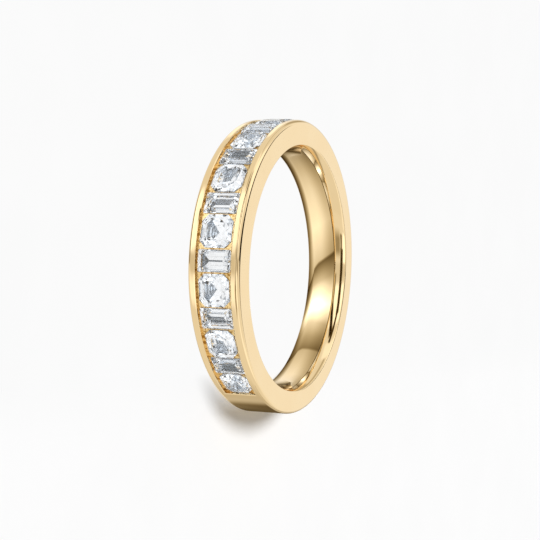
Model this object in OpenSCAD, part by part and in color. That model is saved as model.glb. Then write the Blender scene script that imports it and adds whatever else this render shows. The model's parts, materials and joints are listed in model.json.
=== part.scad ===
// Channel-set half band ring, stones alternating baguette and asscher.
// It lies on its side: the finger axis is nearly upright, the stones face -Y, the origin is the middle of the bore.

/* [Finger hole] */
// Inside diameter of the ring, at the middle of its width
finger_d = 17.3; // [15.7:0.1:19.8]
// How much wider the bore is at each side face than in the middle, on the radius
comfort_rise = 0.4; // [0.2:0.05:0.5]
// How far in from each side face the bore starts to open
comfort_run = 1.0; // [0.8:0.05:1.1]

/* [Band] */
// Mean thickness of the band, from the bore to the outside
band_t = 2.1; // [1.9:0.05:2.5]
// How far the outside circle is set towards the stones
head_shift = 0.2; // [0:0.05:0.3]
// Width of the band at the middle of the stones
head_w = 3.95; // [3.7:0.05:4.4]
// Width of the band opposite the stones
base_w = 3.05; // [2.8:0.05:3.6]
// Rounding of the two outside edges
edge_r = 0.32; // [0.2:0.02:0.4]

/* [Channel] */
// Width of the rim on each side of the channel
rim_w = 0.6; // [0.5:0.05:0.7]
// Depth of the channel floor below the rims
floor_depth = 0.25; // [0.15:0.01:0.3]
// Thickness of metal left between two pockets at the floor
bar_t = 0.065; // [0.06:0.005:0.12]
// Metal between the last pocket and the end of the channel
end_land = 0.1; // [0.08:0.01:0.3]

/* [Stones] */
// Stones on each side of the middle one
stones_per_side = 7; // [5:2:7]
// Side of a square stone, as a share of the channel width
asscher_share = 0.86; // [0.8:0.01:0.87]
// Length of a baguette across the band, as a share of the channel width
baguette_share = 0.91; // [0.86:0.01:0.93]
// Width of a baguette along the band, as a share of the channel width
baguette_narrow = 0.57; // [0.5:0.01:0.6]
// Clearance between a stone and its pocket
stone_gap = 0.015; // [0.01:0.005:0.03]
// Height of the crown above the girdle
crown_h = 0.25; // [0.2:0.01:0.3]
// Thickness of the girdle
girdle_t = 0.05; // [0.03:0.01:0.08]

/* [Hidden] */

gold = [0.93, 0.76, 0.42];
diamond = [0.90, 0.93, 0.96];
$fn = 96;

bore_r = finger_d / 2;
outer_r = bore_r + band_t;
mean_w = (head_w + base_w) / 2;
// Tilt of each side face from square, because the band narrows evenly from head to base
side_tilt = atan((head_w - base_w) / 2 / (2 * outer_r));
floor_r = outer_r - floor_depth;

// Band width at an angle from the middle of the stones, on the outside circle
function width_at(angle) = mean_w + (head_w - base_w) / 2 * cos(angle);
// Channel width at the same place
function channel_at(angle) = width_at(angle) - 2 * rim_w;

// Stones are numbered from the middle: 0 is the middle baguette, odd ones are asschers
function is_asscher(k) = abs(k) % 2 == 1;
// Length along the band of stone k in a channel of the given width
function along(k, channel) = channel * (is_asscher(k) ? asscher_share : baguette_narrow);
function across(k, channel) = channel * (is_asscher(k) ? asscher_share : baguette_share);
// Angle of stone k from the middle, each one laid against the stone before it
function stone_angle(k) =
    k == 0 ? 0
    : k < 0 ? -stone_angle(-k)
    : let (
          before = stone_angle(k - 1),
          channel = channel_at(before),
          pitch = (along(k - 1, channel) + along(k, channel)) / 2 + bar_t + 2 * stone_gap
      )
      before + 2 * atan(pitch / 2 / floor_r);
end_angle = stone_angle(stones_per_side)
    + asin((along(stones_per_side, channel_at(stone_angle(stones_per_side))) / 2 + stone_gap + end_land) / floor_r);

// Rings of a step cut below the girdle and above it: [inset from the girdle, height], as shares of the half width
asscher_pavilion = [[0.28, -0.36], [0.58, -0.66], [0.97, -0.97]];
baguette_pavilion = [[0.27, -0.38], [0.57, -0.70], [0.93, -1.00]];
crown_steps = [[0.16, 0.55], [0.38, 1.0]];
// A pocket narrows by this share of its depth, more steeply than the stone does
pocket_slope = 0.6;
pocket_spare = 0.1;
asscher_corner = 0.38;
baguette_corner = 0.10;

function half_along(k) = along(k, channel_at(stone_angle(k))) / 2;
function half_across(k) = across(k, channel_at(stone_angle(k))) / 2;
function corner_of(k) = half_along(k) * (is_asscher(k) ? asscher_corner : baguette_corner);
function pavilion_of(k) = is_asscher(k) ? asscher_pavilion : baguette_pavilion;
function pavilion_depth(k) = -half_along(k) * pavilion_of(k)[2][1];

// Eight corners of a rectangle a by b (half sizes) with cut corners, at height z
function cut_rectangle(a, b, corner, z) = [
    [a, b - corner, z], [a - corner, b, z], [corner - a, b, z], [-a, b - corner, z],
    [-a, corner - b, z], [corner - a, -b, z], [a - corner, -b, z], [a, corner - b, z]
];

// A solid through rings of eight points, from the lowest ring to the highest
module ring_stack(rings) {
    sides = len(rings[0]);
    last = len(rings) - 1;
    points = [for (ring = rings) for (p = ring) p];
    walls = [for (i = [0:last - 1]) for (j = [0:sides - 1])
        [i * sides + j, (i + 1) * sides + j, (i + 1) * sides + (j + 1) % sides, i * sides + (j + 1) % sides]];
    bottom = [[for (j = [0:sides - 1]) j]];
    top = [[for (j = [sides - 1:-1:0]) last * sides + j]];
    polyhedron(points = points, faces = concat(walls, bottom, top));
}

// Puts what is drawn about +Z on the outside circle's radius floor_r, at an angle from the head
module on_floor(angle) {
    translate([0, -head_shift, 0]) rotate([0, 0, angle]) translate([0, -floor_r, 0]) rotate([90, 0, 0]) children();
}

// The whole ring is turned so that its lower side face is level
module laid() {
    rotate([-side_tilt, 0, 0]) children();
}

// Stone k: pavilion, girdle, crown and table, its long side along the ring's axis
module stone(k) {
    a = half_along(k);
    b = half_across(k);
    c = corner_of(k);
    below = [for (i = [2:-1:0]) let (s = pavilion_of(k)[i])
        cut_rectangle(a - a * s[0], b - a * s[0], c * (1 - s[0]), a * s[1])];
    girdle = [cut_rectangle(a, b, c, 0), cut_rectangle(a, b, c, girdle_t)];
    above = [for (s = crown_steps)
        cut_rectangle(a - a * s[0], b - a * s[0], c * (1 - s[0]), girdle_t + crown_h * s[1])];
    color(diamond) laid() on_floor(stone_angle(k)) ring_stack(concat(below, girdle, above));
}

// The pocket that stone k sits in, open above the channel floor
module pocket(k) {
    a = half_along(k) + stone_gap;
    b = half_across(k) + stone_gap;
    c = corner_of(k);
    depth = pavilion_depth(k) + pocket_spare;
    inset = depth * pocket_slope;
    on_floor(stone_angle(k)) ring_stack([
        cut_rectangle(a - inset, b - inset, c * (1 - inset / a), -depth),
        cut_rectangle(a, b, c, -stone_gap),
        cut_rectangle(a, b, c, floor_depth)
    ]);
}

// Space between the two side faces, each moved in by inset, from -Y to +Y
module between_sides(inset) {
    reach = 2 * outer_r;
    slope = tan(side_tilt);
    half = mean_w / 2 - inset;
    rotate([90, 0, 90]) linear_extrude(height = 2 * reach, center = true)
        polygon([
            [-reach, half + slope * (reach - head_shift)], [-reach, -half - slope * (reach - head_shift)],
            [reach, -half + slope * (reach + head_shift)], [reach, half - slope * (reach + head_shift)]
        ]);
}

// Puts a cutter that is drawn about the side face's own axis, face at z = 0, on both side faces
module on_both_sides(centre_y) {
    half = mean_w / 2 - tan(side_tilt) * (centre_y + head_shift);
    for (side = [0, 1]) mirror([0, 0, side])
        translate([0, centre_y, half]) rotate([-side_tilt, 0, 0]) children();
}

// What rounds off an outside edge: it meets both faces at a small angle, just outside the tangent
module edge_cutter() {
    outside = 0.012;
    centre = [outer_r - edge_r + outside, outside - edge_r];
    rotate_extrude(convexity = 4) difference() {
        translate(centre) square([1, 1]);
        translate(centre) circle(r = edge_r);
    }
}

// What opens the bore towards a side face, an arc that bulges towards the finger
module comfort_cutter() {
    overlap = 0.04;
    past = 0.2;
    arc_r = (pow(comfort_run, 2) + pow(comfort_rise + overlap, 2)) / (2 * (comfort_rise + overlap));
    rotate_extrude(convexity = 4) difference() {
        translate([bore_r - 1, -comfort_run]) square([1.5 + comfort_rise, comfort_run + past]);
        translate([bore_r - overlap + arc_r, -comfort_run]) circle(r = arc_r);
    }
}

// The shallow channel between the rims, over the row of stones
module channel() {
    reach = 2 * outer_r;
    intersection() {
        between_sides(rim_w);
        translate([0, -head_shift, 0]) difference() {
            cylinder(r = outer_r + 1, h = 2 * head_w, center = true);
            cylinder(r = floor_r, h = 3 * head_w, center = true);
        }
        translate([0, -head_shift, 0]) linear_extrude(height = 2 * head_w, center = true)
            polygon([
                [0, 0], [-reach * sin(end_angle), -reach * cos(end_angle)], [-reach, -reach],
                [reach, -reach], [reach * sin(end_angle), -reach * cos(end_angle)]
            ]);
    }
}

module band() {
    color(gold) laid() difference() {
        intersection() {
            translate([0, -head_shift, 0]) cylinder(r = outer_r, h = 2 * head_w, center = true);
            between_sides(0);
        }
        cylinder(r = bore_r, h = 3 * head_w, center = true);
        on_both_sides(-head_shift) edge_cutter();
        on_both_sides(0) comfort_cutter();
        channel();
        for (k = [-stones_per_side:stones_per_side]) pocket(k);
    }
}

band();
for (i = [1:stones_per_side + 1])
    stone(2 * i - stones_per_side - 2);
for (i = [1:stones_per_side])
    stone(2 * i - stones_per_side - 1);
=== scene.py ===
"""The looks of a channel-set gold band ring that lies on its side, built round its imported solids.

Everything is in metres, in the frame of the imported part: the finger hole's centre is the origin and the
middle stone faces -Y. The band is drawn square to its own axis first, and then laid down on its lower side.
"""

import json
import math

import bpy
from mathutils import Matrix, Vector


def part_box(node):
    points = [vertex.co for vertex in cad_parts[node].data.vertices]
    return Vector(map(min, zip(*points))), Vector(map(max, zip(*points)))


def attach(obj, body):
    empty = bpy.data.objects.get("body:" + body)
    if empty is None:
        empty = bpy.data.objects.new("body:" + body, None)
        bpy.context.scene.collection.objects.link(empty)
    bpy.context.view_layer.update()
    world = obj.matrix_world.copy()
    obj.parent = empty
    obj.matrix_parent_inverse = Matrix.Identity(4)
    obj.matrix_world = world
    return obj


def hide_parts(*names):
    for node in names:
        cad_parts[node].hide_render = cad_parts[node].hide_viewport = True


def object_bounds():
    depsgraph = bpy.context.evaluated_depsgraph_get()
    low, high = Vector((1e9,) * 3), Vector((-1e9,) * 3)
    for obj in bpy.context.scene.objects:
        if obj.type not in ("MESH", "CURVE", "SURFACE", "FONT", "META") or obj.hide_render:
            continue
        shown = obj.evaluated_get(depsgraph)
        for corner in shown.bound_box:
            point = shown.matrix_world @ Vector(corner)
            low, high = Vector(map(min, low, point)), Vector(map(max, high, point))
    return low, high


bl_info = {
    "name": "Channel-set band ring",
    "version": (1, 0, 0),
    "blender": (4, 5, 0),
    "location": "3D View > Sidebar > Ring",
    "description": "Makes a gold band with a channel of step-cut stones, and the stage it lies on",
    "category": "Object",
}

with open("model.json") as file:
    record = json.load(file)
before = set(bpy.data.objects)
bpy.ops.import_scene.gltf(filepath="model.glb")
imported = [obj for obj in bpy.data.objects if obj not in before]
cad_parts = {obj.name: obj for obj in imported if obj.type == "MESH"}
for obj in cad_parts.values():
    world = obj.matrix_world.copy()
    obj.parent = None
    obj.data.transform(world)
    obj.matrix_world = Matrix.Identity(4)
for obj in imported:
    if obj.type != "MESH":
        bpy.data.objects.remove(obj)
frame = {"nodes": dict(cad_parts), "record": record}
CAD_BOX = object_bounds()
MM = 0.001
BODY = "root"
FINGER_HOLE = next(m for m in frame["record"]["mounts"] if m["name"] == "finger_hole")
BORE_RADIUS = FINGER_HOLE["dims"]["r_mm"] * MM
OUTER_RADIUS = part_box("band")[1].x
REST_HEIGHT = CAD_BOX[0].z
STONES = sorted(name for name in frame["nodes"] if name != "band")
# The band narrows towards its back, so its axis leans this much when one side face is level
LEAN = math.atan2(FINGER_HOLE["axis"][1], FINGER_HOLE["axis"][2])
LAID = Matrix.Rotation(-LEAN, 4, "X")


# Sizes and colours

class BandSizes(bpy.types.PropertyGroup):
    """Sizes of the gold band"""
    head_shift: bpy.props.FloatProperty(
        name="Head shift", description="How far the outside circle is set towards the stones",
        default=0.2 * MM, subtype="DISTANCE", unit="LENGTH")
    head_width: bpy.props.FloatProperty(
        name="Head width", description="Width of the band at the middle stone",
        default=3.95 * MM, subtype="DISTANCE", unit="LENGTH")
    back_width: bpy.props.FloatProperty(
        name="Back width", description="Width of the band opposite the stones",
        default=3.05 * MM, subtype="DISTANCE", unit="LENGTH")
    edge_radius: bpy.props.FloatProperty(
        name="Edge radius", description="Rounding of the two outside edges",
        default=0.32 * MM, subtype="DISTANCE", unit="LENGTH")
    comfort_rise: bpy.props.FloatProperty(
        name="Comfort rise", description="How much wider the finger hole is at its two mouths, on the radius",
        default=0.4 * MM, subtype="DISTANCE", unit="LENGTH")
    comfort_run: bpy.props.FloatProperty(
        name="Comfort run", description="How far in from each side face the finger hole starts to open",
        default=1.04 * MM, subtype="DISTANCE", unit="LENGTH")
    wall_crown: bpy.props.FloatProperty(
        name="Wall crown", description="How far the middle of the hole's wall bulges towards the finger",
        default=0.02 * MM, subtype="DISTANCE", unit="LENGTH")
    crown_turn: bpy.props.FloatProperty(
        name="Crown turn", description="Slope of the wall where the finger hole starts to open",
        default=math.radians(4.5), subtype="ANGLE", unit="ROTATION")
    mouth_radius: bpy.props.FloatProperty(
        name="Mouth radius", description="Rounding where the finger hole meets a side face",
        default=0.13 * MM, subtype="DISTANCE", unit="LENGTH")
    rim_width: bpy.props.FloatProperty(
        name="Rim width", description="Width of the rim on each side of the channel",
        default=0.6 * MM, subtype="DISTANCE", unit="LENGTH")
    chamfer: bpy.props.FloatProperty(
        name="Chamfer", description="Width of the bright cut along the rims' edges over the channel",
        default=0.075 * MM, subtype="DISTANCE", unit="LENGTH")
    chamfer_turn: bpy.props.FloatProperty(
        name="Chamfer turn", description="How far the bright cut is turned from the rims towards the channel",
        default=math.radians(33), subtype="ANGLE", unit="ROTATION")
    floor_depth: bpy.props.FloatProperty(
        name="Floor depth", description="Depth of the channel floor below the rims",
        default=0.25 * MM, subtype="DISTANCE", unit="LENGTH")
    end_land: bpy.props.FloatProperty(
        name="End land", description="Metal between the last pocket and the end of the channel",
        default=0.1 * MM, subtype="DISTANCE", unit="LENGTH")
    pocket_gap: bpy.props.FloatProperty(
        name="Pocket gap", description="Clearance between a stone and its pocket",
        default=0.015 * MM, subtype="DISTANCE", unit="LENGTH")
    pocket_spare: bpy.props.FloatProperty(
        name="Pocket spare depth", description="Depth of a pocket below the stone's point",
        default=0.1 * MM, subtype="DISTANCE", unit="LENGTH")
    pocket_slope: bpy.props.FloatProperty(
        name="Pocket slope", description="How much a pocket narrows, as a share of its depth", default=0.6)


class Finishes(bpy.types.PropertyGroup):
    """Colours and polish of the metal and the stones, with painted shade in the channel and painted light and
    shade in the seats
    """
    gold: bpy.props.FloatVectorProperty(
        name="Gold", description="Colour of the polished yellow gold",
        default=(0.955, 0.745, 0.440), subtype="COLOR", min=0, max=1)
    gold_roughness: bpy.props.FloatProperty(
        name="Gold roughness", description="How far the polish spreads a reflection",
        default=0.035, min=0, max=1)
    hairline_roughness: bpy.props.FloatProperty(
        name="Hairline roughness", description="What the hairlines of wear add to the gold's roughness",
        default=0.06, min=0, max=1)
    line_depth: bpy.props.FloatProperty(
        name="Line depth", description="Depth of the faint lines that polishing leaves round the ring",
        default=0.002 * MM, subtype="DISTANCE", unit="LENGTH")
    # Painted shade: the channel's floor is darker than the band as shade in the sunken channel, and its pits
    # darker still as shade in them
    channel_gold_painted_shade: bpy.props.FloatVectorProperty(
        name="Channel gold", description="Colour of the channel's floor",
        default=(0.93, 0.69, 0.34), subtype="COLOR", min=0, max=1)
    channel_pit_painted_shade: bpy.props.FloatVectorProperty(
        name="Channel shade", description="Colour of the small pits in the channel's floor",
        default=(0.42, 0.22, 0.04), subtype="COLOR", min=0, max=1)
    # Painted light: the seat is pale in place of the light that the stones throw back
    seat: bpy.props.FloatVectorProperty(
        name="Seat", description="Colour of the bright-cut metal under the stones",
        default=(0.92, 0.93, 0.95), subtype="COLOR", min=0, max=1)
    # Painted shade and painted reflections: the seat's darker steps, which show through the stones as their
    # step lines
    seat_painted_shade: bpy.props.FloatVectorProperty(
        name="Seat shade", description="Colour of the darker steps in a stone's seat",
        default=(0.60, 0.64, 0.68), subtype="COLOR", min=0, max=1)
    seat_step: bpy.props.FloatProperty(
        name="Seat step", description="Depth from one darker step in a stone's seat to the next",
        default=0.14 * MM, subtype="DISTANCE", unit="LENGTH")
    bottom_step: bpy.props.FloatProperty(
        name="Bottom step", description="Distance across the band between the stripes in a seat's bottom",
        default=0.14 * MM, subtype="DISTANCE", unit="LENGTH")
    deep_radius: bpy.props.FloatProperty(
        name="Deep radius", description="How far from the ring's axis a seat's bottom is still striped",
        default=9.5 * MM, subtype="DISTANCE", unit="LENGTH")
    # Painted shade at the bottom of each stone's seat
    seat_bottom_painted_shade: bpy.props.FloatVectorProperty(
        name="Seat bottom", description="Colour of the flat bottom of a stone's seat",
        default=(0.09, 0.11, 0.13), subtype="COLOR", min=0, max=1)
    stone: bpy.props.FloatVectorProperty(
        name="Stone", description="Tint of the clear stones",
        default=(0.975, 0.987, 1.0), subtype="COLOR", min=0, max=1)
    stone_ior: bpy.props.FloatProperty(
        name="Stone refraction", description="How strongly the stones bend light", default=1.82, min=1, max=3)


class StageSizes(bpy.types.PropertyGroup):
    """The floor, the light and the camera"""
    floor_colour: bpy.props.FloatVectorProperty(
        name="Floor", description="Colour of the pale floor",
        default=(0.90, 0.90, 0.90), subtype="COLOR", min=0, max=1)
    floor_size: bpy.props.FloatProperty(
        name="Floor size", description="Length of the floor's sides",
        default=0.9, subtype="DISTANCE", unit="LENGTH")
    studio_level: bpy.props.FloatProperty(
        name="Studio level", description="Brightness of the studio between its cards", default=0.88, min=0)
    glow_level: bpy.props.FloatProperty(
        name="Glow level", description="How brightly the floor glows where the ring casts no shadow on it",
        default=1.062, min=0)
    shade_turn: bpy.props.FloatProperty(
        name="Shade turn", description="Direction round the ring in which the floor shows its shadow",
        default=math.radians(23.5), subtype="ANGLE", unit="ROTATION")
    shade_start: bpy.props.FloatProperty(
        name="Shade start", description="How far that way from the ring's middle the shadow begins to show",
        default=7.6 * MM, subtype="DISTANCE", unit="LENGTH")
    matt_level: bpy.props.FloatProperty(
        name="Matt level", description="Brightness of the even light on matt surfaces", default=0.42, min=0)
    shade_warmth: bpy.props.FloatVectorProperty(
        name="Shade warmth", description="Powers of red, green and blue in the studio's shades on the metal",
        default=(1, 1.15, 1.5), size=3)
    stone_level: bpy.props.FloatProperty(
        name="Stone level", description="Brightness of the studio for the clear stones", default=1.15, min=0)
    ripple_width: bpy.props.FloatProperty(
        name="Ripple width", description="Width of the soft stripes that the stones see in the studio",
        default=math.radians(14), subtype="ANGLE", unit="ROTATION")
    ripple_depth: bpy.props.FloatProperty(
        name="Ripple depth", description="How far those stripes are from the studio's even level",
        default=0.18, min=0, max=0.5)
    stone_light: bpy.props.FloatVectorProperty(
        name="Stone light", description="Colour of the studio's light through the stones",
        default=(1.12, 1.16, 1.2), size=3)
    flag_radius: bpy.props.FloatProperty(
        name="Flag radius", description="From the finger hole's axis to the grey strip that its wall mirrors",
        default=8.25 * MM, subtype="DISTANCE", unit="LENGTH")
    flag_slant: bpy.props.FloatProperty(
        name="Flag slant", description="Lean of the strip's shades, in degrees for each millimetre of height",
        default=3.8)
    flag_fall: bpy.props.FloatProperty(
        name="Flag fall", description="Share of its brightness that the strip loses towards its upper edge",
        default=0.4, min=0, max=1)
    lamp_power: bpy.props.FloatProperty(
        name="Lamp power", description="Strength of the soft lamp", default=2.55, min=0)
    lamp_turn: bpy.props.FloatProperty(
        name="Lamp turn", description="Angle of the lamp round the band, from the +X side",
        default=math.radians(208), subtype="ANGLE", unit="ROTATION")
    lamp_rise: bpy.props.FloatProperty(
        name="Lamp rise", description="Angle of the lamp above the floor",
        default=math.radians(66), subtype="ANGLE", unit="ROTATION")
    lamp_spread: bpy.props.FloatProperty(
        name="Lamp spread", description="Angle that the lamp fills, which softens its shadows",
        default=math.radians(24), subtype="ANGLE", unit="ROTATION")
    camera_distance: bpy.props.FloatProperty(
        name="Camera distance", description="From the camera to the middle of the outside circle",
        default=129 * MM, subtype="DISTANCE", unit="LENGTH")
    camera_rise: bpy.props.FloatProperty(
        name="Camera rise", description="Angle of the view above the plane of the band",
        default=math.radians(24.86), subtype="ANGLE", unit="ROTATION")
    camera_turn: bpy.props.FloatProperty(
        name="Camera turn", description="Angle of the view round the band, from the +X side",
        default=math.radians(293.5), subtype="ANGLE", unit="ROTATION")
    camera_roll: bpy.props.FloatProperty(
        name="Camera roll", description="How far the picture is turned from the band's own axis",
        default=math.radians(1.99), subtype="ANGLE", unit="ROTATION")
    camera_lens: bpy.props.FloatProperty(
        name="Camera lens", description="Focal length in millimetres on a 36 mm wide sensor", default=116.83)
    camera_aside: bpy.props.FloatVectorProperty(
        name="Camera aside", description="How far the band's middle lies right of and above the picture's",
        default=(0.591 * MM, 0.268 * MM), size=2, subtype="XYZ", unit="LENGTH")


# What the metal sees of the studio: a name, then in degrees the azimuth and elevation of a card's middle,
# half its width and height, how far it is turned and how wide its soft edge is, and then its brightness
CARDS = (
    ("under", 0, -52, 200, 50, 0, 6, 0.85),
    ("under near", 258, -34, 24, 28, 0, 14, 1.4),
    ("under near low", 258, -40, 24, 13, 0, 5, 1.6),
    ("under seam", 292, -34, 7, 40, -8, 6, 0.72),
    ("under far", 314, -34, 10, 30, 0, 12, 1.22),
    ("under back", 80, -28, 40, 30, 0, 40, 0.6),
    ("under end", 88, -26, 18, 9, 0, 14, 0.12),
    ("under back low", 76, -42, 12, 12, 0, 10, 1.1),
    ("under corner", 160, -25, 14, 9, 0, 8, 1.25),
    ("under deep", 240, -76, 52, 16, 0, 10, 0.15),
    ("side wall", 110, 26, 34, 18, 0, 12, 0.985),
    ("far wall", 25, 20, 34, 15, 0, 8, 0.84),
    ("far wall top", 25, 48, 45, 9, 0, 8, 1.12),
    ("key", 170, 50, 42, 13, 0, 8, 1.25),
    ("key low", 166, 24, 28, 15, 0, 10, 0.84),
    ("key side", 207, 26, 10, 14, 0, 8, 1.12),
    ("key shade", 147, 5, 11, 10, 0, 8, 0.48),
    ("key seam", 120.2, 50, 9, 26, -8, 2, 0.005),
    ("key seam top", 125, 68, 11, 8, 0, 4, 0.03),
    ("key foot", 172, 13, 26, 2.5, 20, 4, 0.5),
    ("near white", 258, 18, 22, 34, 0, 8, 1.42),
    ("near grey", 293, 18, 10, 34, 0, 16, 0.76),
    ("near light", 316, 18, 12, 34, 0, 12, 1.15),
    ("near light top", 318, 46, 16, 9, 0, 4, 1.45),
    ("near shade", 230, -8, 8, 6, 0, 6, 0.4),
    ("near dusk", 319, 14, 12, 12, 0, 14, 0.36),
    ("near dark far", 272, 7, 18, 3, 0, 4, 0.3),
    ("near dark", 243, 13, 20, 5, -24, 5, 0.02),
    ("arch", 282, 31, 34, 5.2, 0, 2.5, 0.05),
    ("arch low", 238, 27.5, 22, 3.4, 15, 2.5, 0.06),
    ("arch right", 322, 30, 9, 3, 0, 3, 0.15),
    ("roof shade", 300, 72, 14, 10, 0, 8, 0.25),
    ("horizon", 62, 1.5, 28, 2, 0, 2, 0.42),
)

# What the clear stones see of it
STONE_CARDS = (
    ("stone low", 0, -50, 200, 50, 0, 30, 0.9),
    ("stone grey", 293, 22, 40, 20, 0, 8, 0.5),
    ("stone white", 293, 25, 40, 4, 0, 3, 1.2),
    ("stone line", 293, 40, 40, 2, 0, 2, 1.1),
    ("stone aside", 240, 20, 5, 40, 0, 3, 0.55),
    ("stone aside far", 345, 20, 5, 40, 0, 3, 0.55),
)

# How bright the flag is along its length: an angle from the back of the band in degrees, and the level there
FLAG_SHADES = ((-122, 0.12), (-96, 0.3), (-68, 0.85), (-48, 1.15), (-31, 0.72), (-29.8, 0.17), (-20, 0.72),
               (-12, 1.7), (-6, 2.9), (-1, 1.7), (4, 0.9), (12, 0.5), (19.3, 0.26), (20.5, 0.62), (38, 0.95),
               (52, 0.8), (66, 0.35))


# How finely the band is divided: along the curve that opens the finger hole, round a mouth, round an outside
# edge, along half of the channel and round half of the back
COMFORT_STEPS = 12
MOUTH_STEPS = 6
EDGE_STEPS = 10
CHANNEL_STEPS = 80
BACK_STEPS = 100
# A side face keeps this much of itself flat next to a rounding, so that the rounding's shading ends there
HOLD = 0.05 * MM
# The swept grid's first and last rows meet within this distance
SEAM = 0.0005 * MM
# From this angle between two faces, their edge stays sharp
TRUE_EDGE = math.radians(25)
POCKET_SIDES = 8

# Features of each pattern in a metre
LINE_SCALE = 3400
HAIRLINE_SCALE = 9000
PATCH_SCALE = 420
PIT_SCALE = 5200
SEAT_SCALE = 6500
CLOUD_SCALE = 900
FLOOR_SCALE = 160

# The flag's lower and upper edges, how far out its foot reaches, and its steps round the finger hole
FLAG_LOW = REST_HEIGHT + 0.02 * MM
FLAG_HIGH = 0.64 * MM
FLAG_RIM = 9.0 * MM
FLAG_STEPS = 96


# Small helpers for node trees

def add(tree, kind, **settings):
    """Adds a node and sets its properties"""
    node = tree.nodes.new(kind)
    for name, value in settings.items():
        setattr(node, name, value)
    return node


def feed(tree, socket, value):
    """Gives an input a value, or links it where the value is another node's output"""
    if isinstance(value, bpy.types.NodeSocket):
        tree.links.new(value, socket)
    else:
        socket.default_value = value


def wired(tree, kind, inputs, **settings):
    """Adds a node, sets its properties and feeds its named inputs"""
    node = add(tree, kind, **settings)
    for name, value in inputs.items():
        feed(tree, node.inputs[name], value)
    return node


def calc(tree, operation, *values):
    """A Math node's result"""
    node = add(tree, "ShaderNodeMath", operation=operation)
    for socket, value in zip(node.inputs, values):
        feed(tree, socket, value)
    return node.outputs[0]


def product(tree, first, *others):
    """Several numbers multiplied"""
    for value in others:
        first = calc(tree, "MULTIPLY", first, value)
    return first


def vector_calc(tree, operation, first, *others):
    """A Vector Math node's result"""
    node = add(tree, "ShaderNodeVectorMath", operation=operation)
    feed(tree, node.inputs[0], first)
    for place, value in enumerate(others, start=1):
        feed(tree, node.inputs["Scale" if operation == "SCALE" else place], value)
    return node.outputs["Value" if operation in ("LENGTH", "DOT_PRODUCT") else "Vector"]


def vector(tree, x, y, z):
    """A vector out of three numbers"""
    return wired(tree, "ShaderNodeCombineXYZ", {"X": x, "Y": y, "Z": z}).outputs[0]


def split(tree, value):
    """The three numbers of a vector"""
    return wired(tree, "ShaderNodeSeparateXYZ", {0: value}).outputs


def rotated(tree, value, axis, angle):
    """A vector turned about X or Z"""
    values = {"Vector": value, "Angle": angle}
    return wired(tree, "ShaderNodeVectorRotate", values, rotation_type=axis).outputs[0]


def from_axis(tree, parts, head_shift):
    """A place's distance from the axis of the outside circle, and how far behind that axis it is"""
    behind = calc(tree, "ADD", parts["Y"], head_shift)
    return vector_calc(tree, "LENGTH", vector(tree, parts["X"], behind, 0)), behind


def object_place(tree):
    """A place on the piece, in metres"""
    return add(tree, "ShaderNodeTexCoord").outputs["Object"]


def attribute(tree, name):
    """A named number that the geometry's points carry"""
    node = wired(tree, "GeometryNodeInputNamedAttribute", {"Name": name}, data_type="FLOAT")
    return node.outputs["Attribute"]


def geometry_tree(name, inputs):
    """An empty Geometry Nodes tree with named inputs, with what it is given and where its result goes"""
    tree = bpy.data.node_groups.new(name, "GeometryNodeTree")
    tree.interface.new_socket("Geometry", in_out="INPUT", socket_type="NodeSocketGeometry")
    for label, kind, note in inputs:
        tree.interface.new_socket(label, in_out="INPUT", socket_type="NodeSocket" + kind).description = note
    tree.interface.new_socket("Geometry", in_out="OUTPUT", socket_type="NodeSocketGeometry")
    return tree, add(tree, "NodeGroupInput").outputs, add(tree, "NodeGroupOutput").inputs


def made_mesh(name, start, tree, values):
    """Runs a tree on a starting mesh and returns a plain object of what it makes"""
    maker = bpy.data.objects.new(name + "_maker", start)
    bpy.context.scene.collection.objects.link(maker)
    modifier = maker.modifiers.new(name, "NODES")
    modifier.node_group = tree
    for item in tree.interface.items_tree:
        if item.in_out == "INPUT" and item.name in values:
            modifier[item.identifier] = values[item.name]
    done = maker.evaluated_get(bpy.context.evaluated_depsgraph_get())
    mesh = bpy.data.meshes.new_from_object(done)
    mesh.name = name
    drop_empty_slots(mesh)
    bpy.data.objects.remove(maker)
    bpy.data.meshes.remove(start)
    piece = bpy.data.objects.new(name, mesh)
    bpy.context.scene.collection.objects.link(piece)
    return piece


def drop_empty_slots(mesh):
    """Leaves out the material slots that no face of a made mesh uses"""
    used = sorted({face.material_index for face in mesh.polygons})
    materials = [mesh.materials[index] for index in used]
    order = [used.index(face.material_index) for face in mesh.polygons]
    mesh.materials.clear()
    for material in materials:
        mesh.materials.append(material)
    mesh.polygons.foreach_set("material_index", order)


# The band

def chamfer_cut(sizes):
    """How far the rims' bright cut reaches across a rim, and how far down"""
    return sizes.chamfer * math.cos(sizes.chamfer_turn), sizes.chamfer * math.sin(sizes.chamfer_turn)


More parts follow.
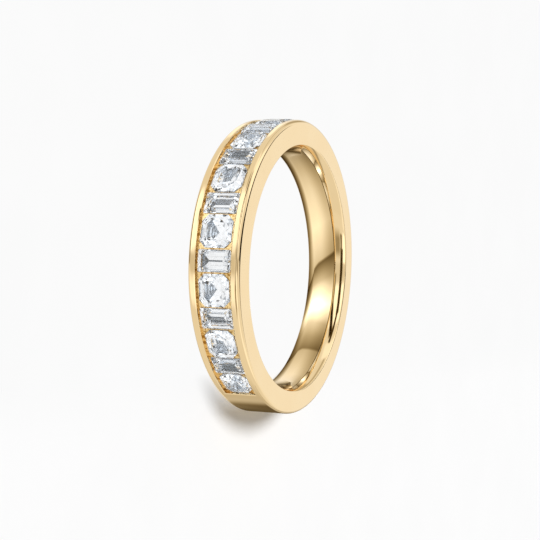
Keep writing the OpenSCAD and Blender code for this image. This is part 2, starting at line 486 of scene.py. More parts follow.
def band_section(sizes):
    """Half of the band's cross-section, from the middle of the finger hole's wall to the channel.

    A point has its radius, its inset from the side face, whether it is on the outside circle, and its depth
    below the rims where there is a channel.
    """
    rise = sizes.comfort_rise
    run = sizes.comfort_run
    mouth = sizes.mouth_radius
    first = sizes.crown_turn
    high = rise - sizes.wall_crown
    comfort = (run ** 2 + high ** 2) / (2 * (high * math.cos(first) - run * math.sin(first)))
    centre_radius = BORE_RADIUS + sizes.wall_crown + comfort * math.cos(first)
    centre_inset = run + comfort * math.sin(first)
    mouth_at = centre_radius - math.sqrt((comfort - mouth) ** 2 - (centre_inset - mouth) ** 2)
    mouth_turn = math.asin((centre_inset - mouth) / (comfort - mouth))
    edge = sizes.edge_radius
    edge_at = OUTER_RADIUS - edge
    cut_run, cut_depth = chamfer_cut(sizes)
    points = []

    def put(radius, inset, outer=0, depth=0):
        points.append({"radius": radius, "inset": inset, "outer": outer, "depth": depth})

    for step in range(COMFORT_STEPS + 1):
        turn = first + (mouth_turn - first) * step / COMFORT_STEPS
        put(centre_radius - comfort * math.cos(turn), centre_inset - comfort * math.sin(turn))
    for step in range(1, MOUTH_STEPS + 1):
        turn = mouth_turn + (math.pi / 2 - mouth_turn) * step / MOUTH_STEPS
        put(mouth_at - mouth * math.cos(turn), mouth - mouth * math.sin(turn))
    put(mouth_at + HOLD, 0)
    put(edge_at - HOLD, 0, outer=1)
    for step in range(EDGE_STEPS + 1):
        turn = math.pi / 2 * step / EDGE_STEPS
        put(edge_at + edge * math.sin(turn), edge - edge * math.cos(turn), outer=1)
    put(OUTER_RADIUS, edge + HOLD / 2, outer=1)
    put(OUTER_RADIUS, sizes.rim_width - cut_run, outer=1)
    put(OUTER_RADIUS, sizes.rim_width, outer=1, depth=cut_depth)
    put(OUTER_RADIUS, sizes.rim_width, outer=1, depth=sizes.floor_depth)
    return points


def whole_section(sizes):
    """The closed cross-section: the bore's middle, the upper half, the channel's middle, the lower half"""
    half = band_section(sizes)
    bore_middle = {"radius": BORE_RADIUS, "inset": 0, "outer": 0, "depth": 0, "side": 0}
    channel_middle = {"radius": OUTER_RADIUS, "inset": 0, "outer": 1, "depth": sizes.floor_depth, "side": 0}
    upper = [dict(point, side=1) for point in half]
    lower = [dict(point, side=-1) for point in reversed(half)]
    return [bore_middle] + upper + [channel_middle] + lower


def band_rails(sizes, end_angle):
    """Angles all round the band from the middle stone, and how deep the channel may go at each"""
    cut_run, cut_depth = chamfer_cut(sizes)
    last = end_angle + cut_run / OUTER_RADIUS
    half = [{"angle": end_angle * step / CHANNEL_STEPS, "limit": sizes.floor_depth}
            for step in range(CHANNEL_STEPS + 1)]
    half += [{"angle": end_angle, "limit": cut_depth}, {"angle": last, "limit": 0}]
    half += [{"angle": last + (math.pi - last) * step / BACK_STEPS, "limit": 0}
             for step in range(1, BACK_STEPS + 1)]
    other = [{"angle": -rail["angle"], "limit": rail["limit"]} for rail in reversed(half[1:-1])]
    return other + half


def stone_facts(name, sizes):
    """A stone's angle from the head, its half sizes and corner cut, and its pocket's depth"""
    upright = LAID.inverted()
    # The mesh is loose triangles, so each of its corners is taken once
    corners = {tuple(round(c, 8) for c in upright @ v.co) for v in frame["nodes"][name].data.vertices}
    points = [Vector(c) + Vector((0, sizes.head_shift, 0)) for c in corners]
    centre = sum(points, Vector()) / len(points)
    angle = math.atan2(centre.x, -centre.y)
    turned = [Matrix.Rotation(-angle, 3, "Z") @ p for p in points]
    along = max(p.x for p in turned)
    across = max(p.z for p in turned)
    nearly_all = along - 0.001 * MM
    straight = max(p.z for p in turned if p.x > nearly_all)
    lowest = min(-p.y for p in turned)
    floor_radius = OUTER_RADIUS - sizes.floor_depth
    return {"angle": angle, "along": along, "across": across, "corner": across - straight,
            "deep": floor_radius - lowest + sizes.pocket_spare, "pocket": 1}


def points_table(name, rows):
    """A mesh of loose points that carry each row's numbers as named attributes"""
    mesh = bpy.data.meshes.new(name)
    mesh.from_pydata([(0, 0, 0)] * len(rows), [], [])
    for column in sorted({key for row in rows for key in row}):
        values = [float(row.get(column, 0)) for row in rows]
        mesh.attributes.new(column, "FLOAT", "POINT").data.foreach_set("value", values)
    return mesh


def swept_band(tree, start):
    """Nodes that lay a grid along the rails and the section, and close it to the band's solid"""
    rails = start["Rails"]
    section = start["Section points"]
    columns = calc(tree, "ADD", rails, 1)
    rows = calc(tree, "ADD", section, 1)
    grid = wired(tree, "GeometryNodeMeshGrid", {"Vertices X": columns, "Vertices Y": rows})
    index = add(tree, "GeometryNodeInputIndex").outputs[0]
    rail = calc(tree, "FLOOR", calc(tree, "DIVIDE", calc(tree, "ADD", index, 0.5), rows))
    place = calc(tree, "SUBTRACT", index, calc(tree, "MULTIPLY", rail, rows))
    rail_index = calc(tree, "MODULO", rail, rails)
    point_index = calc(tree, "ADD", calc(tree, "MODULO", place, section), rails)

    def read(name, at):
        wanted = {"Geometry": start["Geometry"], "Value": attribute(tree, name), "Index": at}
        return wired(tree, "GeometryNodeSampleIndex", wanted, data_type="FLOAT", domain="POINT").outputs[0]

    angle = read("angle", rail_index)
    depth = calc(tree, "MINIMUM", read("depth", point_index), read("limit", rail_index))
    radius = calc(tree, "SUBTRACT", read("radius", point_index), depth)
    shift = calc(tree, "MULTIPLY", read("outer", point_index), start["Head shift"])
    x = calc(tree, "MULTIPLY", radius, calc(tree, "SINE", angle))
    ahead = calc(tree, "MULTIPLY", radius, calc(tree, "COSINE", angle))
    y = calc(tree, "MULTIPLY", calc(tree, "ADD", ahead, shift), -1)
    forward = calc(tree, "SUBTRACT", 0, calc(tree, "ADD", y, start["Head shift"]))
    half = calc(tree, "MULTIPLY_ADD", forward, start["Side slope"], start["Half width"])
    height = calc(tree, "SUBTRACT", half, read("inset", point_index))
    z = calc(tree, "MULTIPLY", height, read("side", point_index))
    placed = wired(tree, "GeometryNodeSetPosition", {
        "Geometry": grid.outputs["Mesh"],
        "Position": vector(tree, x, y, z),
    })
    closed = wired(tree, "GeometryNodeMergeByDistance", {"Geometry": placed.outputs[0], "Distance": SEAM})
    return closed.outputs["Geometry"]


def pocket_cutters(tree, start):
    """Nodes that put one eight-sided cutter at each pocket point and shape it to its stone"""
    cutter = wired(tree, "GeometryNodeMeshCylinder", {
        "Vertices": POCKET_SIDES,
        "Side Segments": 2,
        "Radius": 1.0,
        "Depth": 2.0,
    }, fill_type="NGON")
    flat_sided = wired(tree, "GeometryNodeTransform", {
        "Geometry": cutter.outputs["Mesh"],
        "Rotation": (0, 0, math.pi / POCKET_SIDES),
    })
    row = wired(tree, "GeometryNodeInstanceOnPoints", {
        "Points": start["Geometry"],
        "Selection": attribute(tree, "pocket"),
        "Instance": flat_sided.outputs["Geometry"],
    })
    real = wired(tree, "GeometryNodeRealizeInstances", {"Geometry": row.outputs["Instances"]})
    # The cutter's rings are at -1, 0 and 1 before it is shaped
    parts = split(tree, add(tree, "GeometryNodeInputPosition").outputs[0])
    at_bottom = calc(tree, "LESS_THAN", parts["Z"], -0.5)
    at_top = calc(tree, "GREATER_THAN", parts["Z"], 0.5)
    wide = calc(tree, "ABSOLUTE", parts["X"])
    high = calc(tree, "ABSOLUTE", parts["Y"])
    along = attribute(tree, "along")
    deep = attribute(tree, "deep")
    gap = start["Pocket gap"]
    inset = product(tree, deep, start["Pocket slope"], at_bottom)
    room = calc(tree, "SUBTRACT", gap, inset)
    kept = calc(tree, "SUBTRACT", 1, calc(tree, "DIVIDE", inset, calc(tree, "ADD", along, gap)))
    corner = calc(tree, "MULTIPLY", attribute(tree, "corner"), kept)

    def out_to(size, this, other, sign_of):
        cut = calc(tree, "MULTIPLY", corner, calc(tree, "LESS_THAN", this, other))
        reach = calc(tree, "SUBTRACT", calc(tree, "ADD", size, room), cut)
        return calc(tree, "MULTIPLY", reach, calc(tree, "SIGN", sign_of))

    side = out_to(along, wide, high, parts["X"])
    upward = out_to(attribute(tree, "across"), high, wide, parts["Y"])
    down = calc(tree, "MULTIPLY", at_bottom, deep)
    up = calc(tree, "MULTIPLY", at_top, start["Floor depth"])
    between = calc(tree, "SUBTRACT", calc(tree, "SUBTRACT", 1, at_bottom), at_top)
    height = calc(tree, "SUBTRACT", calc(tree, "SUBTRACT", up, down), calc(tree, "MULTIPLY", gap, between))
    outward = calc(tree, "ADD", start["Floor radius"], height)
    at_head = vector(tree, side, calc(tree, "MULTIPLY", outward, -1), upward)
    shift = calc(tree, "MULTIPLY", start["Head shift"], -1)
    placed = wired(tree, "GeometryNodeSetPosition", {
        "Geometry": real.outputs["Geometry"],
        "Position": rotated(tree, at_head, "Z_AXIS", attribute(tree, "angle")),
        "Offset": vector(tree, 0, shift, 0),
    })
    return placed.outputs["Geometry"]


def band_tree():
    """The tree that sweeps the band, cuts its pockets, lays it down and smooths it between its true edges"""
    tree, start, end = geometry_tree("Channel-set band", [
        ("Rails", "Int", "Places round the band that the table lists first"),
        ("Section points", "Int", "Points of the cross-section that the table lists next"),
        ("Head shift", "Float", "How far the outside circle is set towards the stones"),
        ("Half width", "Float", "Half of the band's mean width"),
        ("Side slope", "Float", "How much half the width grows for each metre towards the stones"),
        ("Floor radius", "Float", "Radius of the channel floor"),
        ("Floor depth", "Float", "Depth of the channel floor below the rims"),
        ("Pocket gap", "Float", "Clearance between a stone and its pocket"),
        ("Pocket slope", "Float", "How much a pocket narrows, as a share of its depth"),
        ("Lean", "Float", "Turn about X that levels the lower side face"),
        ("True edge", "Float", "Angle between two faces from which their edge stays sharp"),
        ("Channel reach", "Float", "Half of the channel's greatest width"),
        ("Pocket reach", "Float", "Radius below which no pocket goes"),
        ("Metal", "Material", "The band's finish"),
        ("Channel metal", "Material", "Finish of the channel's floor between the stones"),
        ("Pocket metal", "Material", "Finish of the pockets under the stones"),
    ])
    solids = {"Mesh 1": swept_band(tree, start), "Mesh 2": pocket_cutters(tree, start)}
    cut = wired(tree, "GeometryNodeMeshBoolean", solids, operation="DIFFERENCE", solver="EXACT")
    laid = wired(tree, "GeometryNodeTransform", {
        "Geometry": cut.outputs["Mesh"],
        "Rotation": vector(tree, start["Lean"], 0, 0),
    })
    smooth = wired(tree, "GeometryNodeSetShadeSmooth", {"Geometry": laid.outputs["Geometry"]}, domain="FACE")
    bend = add(tree, "GeometryNodeInputMeshEdgeAngle").outputs["Unsigned Angle"]
    sharp = wired(tree, "GeometryNodeSetShadeSmooth", {
        "Geometry": smooth.outputs["Geometry"],
        "Selection": calc(tree, "GREATER_THAN", bend, start["True edge"]),
        "Shade Smooth": False,
    }, domain="EDGE")
    real = wired(tree, "GeometryNodeRealizeInstances", {"Geometry": sharp.outputs["Geometry"]})
    in_channel, in_pocket = channel_places(tree, start)
    done = real.outputs["Geometry"]
    for metal, places in (("Metal", True), ("Channel metal", in_channel), ("Pocket metal", in_pocket)):
        finish = wired(tree, "GeometryNodeSetMaterial", {
            "Geometry": done,
            "Selection": places,
            "Material": start[metal],
        })
        done = finish.outputs["Geometry"]
    feed(tree, end["Geometry"], done)
    return tree


def channel_places(tree, start):
    """Where a face is the channel's floor, and where it is a wall or the bottom of a pocket"""
    place = add(tree, "GeometryNodeInputPosition").outputs[0]
    parts = split(tree, rotated(tree, place, "X_AXIS", calc(tree, "MULTIPLY", start["Lean"], -1)))
    radius, _ = from_axis(tree, parts, start["Head shift"])
    inside = calc(tree, "LESS_THAN", calc(tree, "ABSOLUTE", parts["Z"]), start["Channel reach"])
    # How far the middle of one of the floor's faces may lie outside the floor's radius, and inside it
    over = 0.01 * MM
    under = 0.02 * MM
    depth = calc(tree, "SUBTRACT", start["Floor radius"], radius)
    sunk = calc(tree, "GREATER_THAN", depth, -over)
    deep = calc(tree, "GREATER_THAN", depth, under)
    above_bore = calc(tree, "GREATER_THAN", radius, start["Pocket reach"])
    in_pocket = product(tree, deep, inside, above_bore)
    in_channel = product(tree, sunk, inside, calc(tree, "SUBTRACT", 1, deep))
    return in_channel, in_pocket


# Finishes

def principled(name):
    """A new material and its Principled BSDF"""
    material = bpy.data.materials.new(name)
    material.use_nodes = True
    return material, material.node_tree.nodes["Principled BSDF"]


def noise(tree, place, scale, detail=2):
    """Noise between 0 and 1 at a place, with its features' number for each metre"""
    return wired(tree, "ShaderNodeTexNoise", {"Vector": place, "Scale": scale, "Detail": detail}).outputs[0]


def remap(tree, value, low, high, first=0.3, last=0.7):
    """Stretches a value from between first and last, which suit noise, to between low and high"""
    node = add(tree, "ShaderNodeMapRange")
    for socket, number in zip(node.inputs, (value, first, last, low, high)):
        feed(tree, socket, number)
    return node.outputs[0]


def mixed(tree, share, first, last):
    """A colour between two others"""
    colours = {"Factor": share, "A": first, "B": last}
    return wired(tree, "ShaderNodeMix", colours, data_type="RGBA").outputs["Result"]


def opaque(colour, shares=(1, 1, 1)):
    """A colour that a socket takes, with shares of its red, green and blue"""
    return (*(channel * share for channel, share in zip(colour, shares)), 1)


def raised(tree, height, distance, strength=1.0):
    """A Bump node's normal from a height"""
    values = {"Height": height, "Distance": distance, "Strength": strength}
    return wired(tree, "ShaderNodeBump", values).outputs[0]


def wear_group():
    """What handling leaves on bright metal: drawn lines round the ring, hairlines and worn patches"""
    tree = bpy.data.node_groups.new("Polish wear", "ShaderNodeTree")
    for label in ("Lean", "Head shift"):
        tree.interface.new_socket(label, in_out="INPUT", socket_type="NodeSocketFloat")
    for label in ("Lines", "Hairlines", "Patches"):
        tree.interface.new_socket(label, in_out="OUTPUT", socket_type="NodeSocketFloat")
    start = add(tree, "NodeGroupInput").outputs
    end = add(tree, "NodeGroupOutput").inputs
    place = object_place(tree)
    parts = split(tree, rotated(tree, place, "X_AXIS", start["Lean"]))
    radius, behind = from_axis(tree, parts, start["Head shift"])
    # The lines run round the ring, because their noise hardly moves with the turn. The hairlines cross them
    line_drift = 0.6 * MM
    hairline_stretch = 0.12
    hairline_drift = 18
    turn = calc(tree, "MULTIPLY", calc(tree, "ARCTAN2", parts["X"], behind), line_drift)
    crossed = vector(tree, calc(tree, "MULTIPLY", radius, hairline_stretch),
                     calc(tree, "MULTIPLY", parts["Z"], hairline_stretch),
                     calc(tree, "MULTIPLY", turn, hairline_drift))
    feed(tree, end["Lines"], noise(tree, vector(tree, radius, parts["Z"], turn), LINE_SCALE, 3))
    feed(tree, end["Hairlines"], noise(tree, crossed, HAIRLINE_SCALE, 3))
    feed(tree, end["Patches"], noise(tree, place, PATCH_SCALE, 3))
    return tree


def polished_gold(finishes):
    """Polished yellow gold with the faint lines of its last polish, and the first marks of wear"""
    material, shader = principled("polished_gold")
    tree = material.node_tree
    place = {"Lean": LEAN, "Head shift": bpy.context.scene.ring_band.head_shift}
    wear = wired(tree, "ShaderNodeGroup", place, node_tree=wear_group())
    patches = remap(tree, wear.outputs["Patches"], 0, 1)
    worn = opaque(finishes.gold, (0.985, 0.965, 0.93))
    feed(tree, shader.inputs["Base Color"], mixed(tree, patches, worn, opaque(finishes.gold)))
    hairlines = remap(tree, wear.outputs["Hairlines"], 0, 1, first=0.5, last=0.8)
    rough = calc(tree, "MULTIPLY_ADD", hairlines, finishes.hairline_roughness, finishes.gold_roughness)
    patch_roughness = 0.015
    feed(tree, shader.inputs["Roughness"], calc(tree, "MULTIPLY_ADD", patches, patch_roughness, rough))
    hairline_share = 0.05
    height = calc(tree, "MULTIPLY_ADD", wear.outputs["Hairlines"], hairline_share, wear.outputs["Lines"])
    feed(tree, shader.inputs["Normal"], raised(tree, height, finishes.line_depth))
    shader.inputs["Metallic"].default_value = 1
    return material


def shaded_cut_gold(finishes):
    """Gold of the channel's floor, satin and finely pitted as the cutter leaves it, painted darker as shade
    in the sunken channel, and darkest as painted shade in its pits
    """
    material, shader = principled("shaded_cut_gold")
    tree = material.node_tree
    pits = noise(tree, object_place(tree), PIT_SCALE)
    level = remap(tree, pits, 0, 1, first=0.38, last=0.56)
    # Painted shade: darker gold over the channel's floor, darkest in the low spots of its pits
    colour = mixed(tree, level, opaque(finishes.channel_pit_painted_shade), opaque(finishes.channel_gold_painted_shade))
    feed(tree, shader.inputs["Base Color"], colour)
    feed(tree, shader.inputs["Roughness"], remap(tree, pits, 0.34, 0.22))
    pit_depth = 0.02 * MM
    feed(tree, shader.inputs["Normal"], raised(tree, pits, pit_depth, strength=0.6))
    shader.inputs["Metallic"].default_value = 1
    return material


def seat_painted_light_and_shade(finishes):
    """Metal under the stones, painted pale in place of the light that the stones throw back, with painted
    darker steps and painted shade in its bottom that show through the stones
    """
    material, shader = principled("seat_painted_light_and_shade")
    tree = material.node_tree
    place = object_place(tree)
    marks = noise(tree, place, SEAT_SCALE, 3)
    parts = split(tree, place)
    radius, _ = from_axis(tree, parts, bpy.context.scene.ring_band.head_shift)
    # The walls have painted darker steps with their depth, which show through the stones as their step
    # reflections, and the walls' marks break up the steps
    mark_share = 0.3
    wave = calc(tree, "SINE", calc(tree, "MULTIPLY", radius, 2 * math.pi / finishes.seat_step))
    steps = calc(tree, "MULTIPLY_ADD", marks, mark_share, remap(tree, wave, 0, 0.85, first=-0.4, last=0.4))
    walls = mixed(tree, steps, opaque(finishes.seat_painted_shade), opaque(finishes.seat))
    # The bottom is painted dark as shade at the pocket's bottom, with painted stripes along the band where it
    # is deep
    shallow_radius = finishes.deep_radius + 0.06 * MM
    rows = calc(tree, "SINE", calc(tree, "MULTIPLY", parts["Z"], 2 * math.pi / finishes.bottom_step))
    deep = remap(tree, radius, 1, 0, first=finishes.deep_radius, last=shallow_radius)
    stripes = calc(tree, "MULTIPLY", deep, remap(tree, rows, 0.15, 1, first=-0.5, last=0.5))
    bottom = mixed(tree, stripes, opaque(finishes.seat_bottom_painted_shade), opaque(finishes.seat_painted_shade))
    facing = add(tree, "ShaderNodeNewGeometry").outputs["True Normal"]
    outward = vector_calc(tree, "DOT_PRODUCT", vector_calc(tree, "NORMALIZE", place), facing)
    in_bottom = remap(tree, outward, 0, 1, first=0.9, last=0.96)
    feed(tree, shader.inputs["Base Color"], mixed(tree, in_bottom, walls, bottom))
    feed(tree, shader.inputs["Roughness"], remap(tree, marks, 0.12, 0.05))
    mark_depth = 0.0015 * MM
    feed(tree, shader.inputs["Normal"], raised(tree, marks, mark_depth, strength=0.5))
    shader.inputs["Metallic"].default_value = 1
    return material


def clear_stone(finishes):
    """Clear stone with faint clouds in its tint and its polish"""
    material, shader = principled("clear_stone")
    tree = material.node_tree
    clouds = noise(tree, object_place(tree), CLOUD_SCALE, 3)
    clouded = opaque(finishes.stone, (0.975, 0.985, 0.995))
    colour = mixed(tree, remap(tree, clouds, 0, 1), clouded, opaque(finishes.stone))
    feed(tree, shader.inputs["Base Color"], colour)
    feed(tree, shader.inputs["Roughness"], remap(tree, clouds, 0.006, 0))
    shader.inputs["IOR"].default_value = finishes.stone_ior
    shader.inputs["Transmission Weight"].default_value = 1
    return material


def pale_floor(settings):
    """A pale matt floor that glows evenly, apart from where it shows the ring's shadow"""
    material, shader = principled("pale_floor")
    tree = material.node_tree
    place = object_place(tree)
    mottle = remap(tree, noise(tree, place, FLOOR_SCALE, 4), 0, 1)
    paler = opaque(settings.floor_colour, (1.012, 1.012, 1.012))
    colour = mixed(tree, mottle, opaque(settings.floor_colour), paler)
    parts = split(tree, place)
    towards_shade = calc(tree, "ADD", calc(tree, "MULTIPLY", parts["X"], math.cos(settings.shade_turn)),
                         calc(tree, "MULTIPLY", parts["Y"], math.sin(settings.shade_turn)))
    shade_end = settings.shade_start + 3 * MM
    glow = remap(tree, towards_shade, 1, 0, first=settings.shade_start, last=shade_end)
    lit = vector_calc(tree, "SCALE", colour, calc(tree, "SUBTRACT", 1, glow))
    feed(tree, shader.inputs["Base Color"], lit)
    feed(tree, shader.inputs["Emission Color"], colour)
    feed(tree, shader.inputs["Emission Strength"], calc(tree, "MULTIPLY", glow, settings.glow_level))
    shader.inputs["Roughness"].default_value = 0.8
    shader.inputs["Specular IOR Level"].default_value = 0
    return material


def shaded_flag(settings):
    """Light and dark shades along the flag, which lean and fall off towards its upper edge and its foot"""
    material, shader = principled("shaded_flag")
    tree = material.node_tree
    parts = split(tree, object_place(tree))
    height = parts["Z"]
    turn = calc(tree, "DEGREES", calc(tree, "ARCTAN2", parts["X"], parts["Y"]))
    # The shades lean fully from -56 to -22 degrees, and less towards both ends
    slant = product(tree, remap(tree, turn, 0.2, 1, first=-84, last=-56),
                    remap(tree, turn, 1, -0.2, first=-22, last=2), settings.flag_slant)
    reached = vector_calc(tree, "LENGTH", vector(tree, parts["X"], parts["Y"], 0))
    foot_drop = -14
    foot_start = settings.flag_radius + 0.05 * MM
    drop = remap(tree, reached, 0, foot_drop, first=foot_start, last=FLAG_RIM)
    leant = calc(tree, "MULTIPLY_ADD", calc(tree, "DIVIDE", height, MM), slant, calc(tree, "ADD", turn, drop))
    first, reach = flag_angles()
    ramp = wired(tree, "ShaderNodeValToRGB", {
        0: calc(tree, "DIVIDE", calc(tree, "SUBTRACT", leant, first), reach),
    })
    stops = ramp.color_ramp.elements
    for number, (place, level) in enumerate(FLAG_SHADES):
        share = (place - first) / reach
        stop = stops.new(share) if number >= len(stops) else stops[number]
        stop.position = share
        stop.color = (level, level, level, 1)
    brightest = 1.1
    fall = wired(tree, "ShaderNodeMapRange", {
        "Value": height,
        "From Min": -0.8 * MM,
        "From Max": 0.5 * MM,
        "To Min": brightest,
        "To Max": brightest * (1 - settings.flag_fall),
    }, interpolation_type="SMOOTHSTEP").outputs[0]
    foot = remap(tree, reached, 1, 0.2, first=settings.flag_radius + 0.1 * MM, last=FLAG_RIM - 0.1 * MM)
    top = remap(tree, height, 1, 0.22, first=FLAG_HIGH - 0.09 * MM, last=FLAG_HIGH - 0.07 * MM)
    level = product(tree, ramp.outputs["Color"], fall, calc(tree, "MULTIPLY", foot, top))
    shader.inputs["Base Color"].default_value = (0, 0, 0, 1)
    shader.inputs["Specular IOR Level"].default_value = 0
    feed(tree, shader.inputs["Emission Color"], warm_shade(tree, level, settings))
    feed(tree, shader.inputs["Emission Strength"], calc(tree, "MAXIMUM", level, 1))
    return material


def warm_shade(tree, level, settings):
    """A shade of the studio as the metal sees it: the darker, the warmer"""
    shade = calc(tree, "MINIMUM", level, 1)
    return vector_calc(tree, "POWER", vector(tree, shade, shade, shade), settings.shade_warmth)


# Operators

class RING_OT_band(bpy.types.Operator):
    """Sweeps the gold band, cuts the pockets for the stones and polishes it"""
    bl_idname = "ring.band"
    bl_label = "Band"

    def execute(self, context):
        sizes = context.scene.ring_band
        finishes = context.scene.ring_finishes
        floor_radius = OUTER_RADIUS - sizes.floor_depth
        pockets = [stone_facts(name, sizes) for name in STONES]
        last = max(pockets, key=lambda facts: facts["angle"])
        land = last["along"] + sizes.pocket_gap + sizes.end_land
        end_angle = last["angle"] + math.asin(land / floor_radius)
        rails = band_rails(sizes, end_angle)
        section = whole_section(sizes)
        band = made_mesh("gold_band", points_table("band_points", rails + section + pockets), band_tree(), {
            "Rails": len(rails),
            "Section points": len(section),
            "Head shift": sizes.head_shift,
            "Half width": (sizes.head_width + sizes.back_width) / 4,
            "Side slope": math.tan(LEAN),
            "Floor radius": floor_radius,
            "Floor depth": sizes.floor_depth,
            "Pocket gap": sizes.pocket_gap,
            "Pocket slope": sizes.pocket_slope,
            "Lean": -LEAN,
            "True edge": TRUE_EDGE,
            "Channel reach": sizes.head_width / 2 - sizes.rim_width + 0.01 * MM,
            "Pocket reach": BORE_RADIUS + sizes.comfort_rise + sizes.head_shift,
            # The channel metal carries painted shade, and the pocket metal painted light and shade
            "Metal": polished_gold(finishes),
            "Channel metal": shaded_cut_gold(finishes),
            "Pocket metal": seat_painted_light_and_shade(finishes),
        })
        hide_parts("band")
        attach(band, BODY)
        return {"FINISHED"}


class RING_OT_stones(bpy.types.Operator):
    """Gives the square and the baguette stones their clear finish"""
    bl_idname = "ring.stones"
    bl_label = "Stones"

    def execute(self, context):
        clear = clear_stone(context.scene.ring_finishes)
        for name in STONES:
            frame["nodes"][name].material_slots[0].material = clear
        return {"FINISHED"}


class RING_OT_stage(bpy.types.Operator):
    """Makes the pale floor, the lights and the camera"""
    bl_idname = "ring.stage"
    bl_label = "Stage"

    def execute(self, context):
        scene = context.scene
        settings = scene.ring_stage
        make_floor(settings)
        make_flag(settings)
        make_studio(scene, settings)
        make_lamp(scene, settings)
        make_camera(scene, settings)
        scene.view_settings.view_transform = "Standard"
        scene.cycles.max_bounces = 24
        scene.cycles.glossy_bounces = 12
        scene.cycles.transmission_bounces = 20
        return {"FINISHED"}


def make_floor(settings):
    """The floor just under the ring. The metal mirrors the studio's cards in its place"""
    half = settings.floor_size / 2
    height = REST_HEIGHT - 0.005 * MM
    corners = [(-half, -half, height), (half, -half, height), (half, half, height), (-half, half, height)]
    floor = stage_mesh("floor", corners, [(0, 1, 2, 3)])
    floor.visible_glossy = False
    floor.data.materials.append(pale_floor(settings))


def flag_angles():
    """The flag's first angle, and how far round the finger hole it goes from there, in degrees"""
    first = FLAG_SHADES[0][0]
    return first, FLAG_SHADES[-1][0] - first


def make_flag(settings):
    """A strip that stands in the finger hole and shows only as a reflection in its wall"""
    first, reach = flag_angles()
    profile = ((FLAG_RIM, FLAG_LOW), (settings.flag_radius, FLAG_LOW), (settings.flag_radius, FLAG_HIGH))
    corners = []
    faces = []
    for step in range(FLAG_STEPS + 1):
        turn = math.radians(first + reach * step / FLAG_STEPS)
        for away, height in profile:
            corners.append((away * math.sin(turn), away * math.cos(turn), height))
        if step:
            end = len(profile) * step
            faces += [(end - 3, end, end + 1, end - 2), (end - 2, end + 1, end + 2, end - 1)]
    flag = stage_mesh("flag", corners, faces)
    flag.visible_camera = False
    flag.visible_diffuse = False
    flag.visible_transmission = False
    flag.visible_shadow = False
    flag.data.materials.append(shaded_flag(settings))


def stage_mesh(name, corners, faces):
    """A piece of the stage"""
    mesh = bpy.data.meshes.new(name)
    mesh.from_pydata(corners, [], faces)
    card = bpy.data.objects.new(name, mesh)
    bpy.context.scene.collection.objects.link(card)
    return card


def soft_card_group():
    """Mixes one soft-edged card of the studio over what lies behind it, by the direction of the light"""
    tree = bpy.data.node_groups.new("Soft card", "ShaderNodeTree")
    inputs = (("Behind", "Float"), ("Direction", "Vector"), ("Middle", "Vector"), ("Half size", "Vector"),
              ("Turn", "Float"), ("Softness", "Float"), ("Level", "Float"))
    for label, kind in inputs:
        tree.interface.new_socket(label, in_out="INPUT", socket_type="NodeSocket" + kind)
    tree.interface.new_socket("Level", in_out="OUTPUT", socket_type="NodeSocketFloat")
    start = add(tree, "NodeGroupInput").outputs
    end = add(tree, "NodeGroupOutput").inputs
    away = vector_calc(tree, "SUBTRACT", start["Direction"], start["Middle"])
    away = vector_calc(tree, "WRAP", away, (180, 180, 180), (-180, -180, -180))
    level_way = rotated(tree, away, "Z_AXIS", calc(tree, "MULTIPLY", start["Turn"], -1))
    outside = vector_calc(tree, "SUBTRACT", vector_calc(tree, "ABSOLUTE", level_way), start["Half size"])
    edge = add(tree, "ShaderNodeMapRange", data_type="FLOAT_VECTOR", interpolation_type="SMOOTHSTEP")
    limits = {socket.identifier: socket for socket in edge.inputs}
    feed(tree, limits["Vector"], vector_calc(tree, "DIVIDE", outside, start["Softness"]))
    for name, value in (("From_Min", -0.5), ("From_Max", 0.5), ("To_Min", 1), ("To_Max", 0)):
        feed(tree, limits[name + "_FLOAT3"], (value, value, value))
    cover = split(tree, edge.outputs["Vector"])
    result = wired(tree, "ShaderNodeMix", {
        "Factor": calc(tree, "MULTIPLY", cover["X"], cover["Y"]),
        "A": start["Behind"],
        "B": start["Level"],
    })
    feed(tree, end["Level"], result.outputs["Result"])
    return tree


def laid_cards(tree, group, direction, level, cards):
    """Lays cards over an even level, each over those before it"""
    for label, azimuth, elevation, half_width, half_height, turn, softness, brightness in cards:
        level = wired(tree, "ShaderNodeGroup", {
            "Behind": level,
            "Direction": direction,
            "Middle": (azimuth, elevation, 0),
            "Half size": (half_width, half_height, 0),
            "Turn": math.radians(turn),
            "Softness": softness,
            "Level": brightness,
        }, node_tree=group, label=label).outputs[0]
    return level


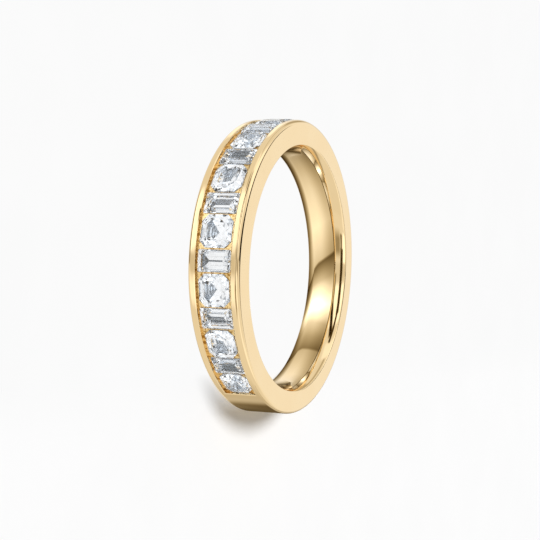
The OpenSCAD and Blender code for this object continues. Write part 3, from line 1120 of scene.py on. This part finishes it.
def make_studio(scene, settings):
    """The studio: its cards for the metal, others for the stones, and even light for matt surfaces"""
    world = bpy.data.worlds.new("studio")
    scene.world = world
    world.use_nodes = True
    world.cycles.sampling_method = "NONE"
    tree = world.node_tree
    parts = split(tree, add(tree, "ShaderNodeTexCoord").outputs["Generated"])
    azimuth = calc(tree, "ARCTAN2", parts["Y"], parts["X"])
    elevation = calc(tree, "ARCSINE", parts["Z"])
    direction = vector_calc(tree, "SCALE", vector(tree, azimuth, elevation, 0), 180 / math.pi)
    group = soft_card_group()
    level = laid_cards(tree, group, direction, settings.studio_level, CARDS)
    for_metal = tree.nodes["Background"]
    feed(tree, for_metal.inputs["Color"], warm_shade(tree, level, settings))
    feed(tree, for_metal.inputs["Strength"], calc(tree, "MAXIMUM", level, 1))
    stone_level = laid_cards(tree, group, direction, settings.stone_level, STONE_CARDS)
    ripples = [calc(tree, "SINE", calc(tree, "MULTIPLY", angle, 2 * math.pi / settings.ripple_width))
               for angle in (elevation, azimuth)]
    share = calc(tree, "MULTIPLY_ADD", calc(tree, "ADD", *ripples), settings.ripple_depth, 1)
    stone_level = calc(tree, "MULTIPLY", stone_level, share)
    for_stones = wired(tree, "ShaderNodeBackground", {
        "Color": vector_calc(tree, "SCALE", settings.stone_light, stone_level),
    })
    for_matt = wired(tree, "ShaderNodeBackground", {"Strength": settings.matt_level})
    path = add(tree, "ShaderNodeLightPath").outputs
    seen = for_metal.outputs[0]
    for ray, other in (("Is Transmission Ray", for_stones), ("Is Diffuse Ray", for_matt)):
        seen = wired(tree, "ShaderNodeMixShader", {0: path[ray], 1: seen, 2: other.outputs[0]}).outputs[0]
    feed(tree, tree.nodes["World Output"].inputs["Surface"], seen)


def towards(turn, rise):
    """The direction at an angle round the band from the +X side, and at an angle above the floor"""
    return Vector((math.cos(rise) * math.cos(turn), math.cos(rise) * math.sin(turn), math.sin(rise)))


def make_lamp(scene, settings):
    """A soft lamp that casts the ring's shadow on the floor"""
    lamp = bpy.data.lights.new("soft_lamp", "SUN")
    lamp.energy = settings.lamp_power
    lamp.angle = settings.lamp_spread
    holder = bpy.data.objects.new("soft_lamp", lamp)
    holder.visible_glossy = False
    holder.visible_transmission = False
    holder.rotation_euler = towards(settings.lamp_turn, settings.lamp_rise).to_track_quat("Z", "Y").to_euler()
    scene.collection.objects.link(holder)


def make_camera(scene, settings):
    """The camera, at the photograph's angle to the band and turned with it"""
    turn = settings.camera_turn
    roll = settings.camera_roll
    back = towards(turn, settings.camera_rise)
    level = towards(turn - math.pi / 2, 0)
    side = level.cross(back)
    right = side * math.cos(roll) + level * math.sin(roll)
    up = level * math.cos(roll) - side * math.sin(roll)
    middle = Vector((0, -scene.ring_band.head_shift, 0))
    aside, above = settings.camera_aside
    place = middle + back * settings.camera_distance - right * aside - up * above
    facing = Matrix((right, up, back)).transposed().to_4x4()
    data = bpy.data.cameras.new("camera")
    data.lens = settings.camera_lens
    data.sensor_width = 36
    data.clip_start = 1 * MM
    camera = bpy.data.objects.new("camera", data)
    camera.matrix_world = LAID @ Matrix.Translation(place) @ facing
    scene.collection.objects.link(camera)
    scene.camera = camera


class RING_PT_panel(bpy.types.Panel):
    """The ring's pieces, sizes and finishes"""
    bl_idname = "RING_PT_panel"
    bl_label = "Channel-set ring"
    bl_space_type = "VIEW_3D"
    bl_region_type = "UI"
    bl_category = "Ring"

    def draw(self, context):
        scene = context.scene
        for operator in STEPS:
            self.layout.operator(operator.bl_idname)
        for group in (scene.ring_band, scene.ring_finishes, scene.ring_stage):
            box = self.layout.box()
            for name in group.bl_rna.properties.keys():
                if name not in ("rna_type", "name"):
                    box.prop(group, name)


GROUPS = {"ring_band": BandSizes, "ring_finishes": Finishes, "ring_stage": StageSizes}
STEPS = (RING_OT_band, RING_OT_stones, RING_OT_stage)


def register():
    for group in GROUPS.values():
        bpy.utils.register_class(group)
    for operator in STEPS:
        bpy.utils.register_class(operator)
    bpy.utils.register_class(RING_PT_panel)
    for name, group in GROUPS.items():
        setattr(bpy.types.Scene, name, bpy.props.PointerProperty(type=group))


def unregister():
    for name in GROUPS:
        delattr(bpy.types.Scene, name)
    bpy.utils.unregister_class(RING_PT_panel)
    for operator in reversed(STEPS):
        bpy.utils.unregister_class(operator)
    for group in reversed(list(GROUPS.values())):
        bpy.utils.unregister_class(group)


def main():
    """Makes every piece and the stage"""
    register()
    bpy.ops.ring.band()
    bpy.ops.ring.stones()
    bpy.ops.ring.stage()


if __name__ == "__main__":
    main()
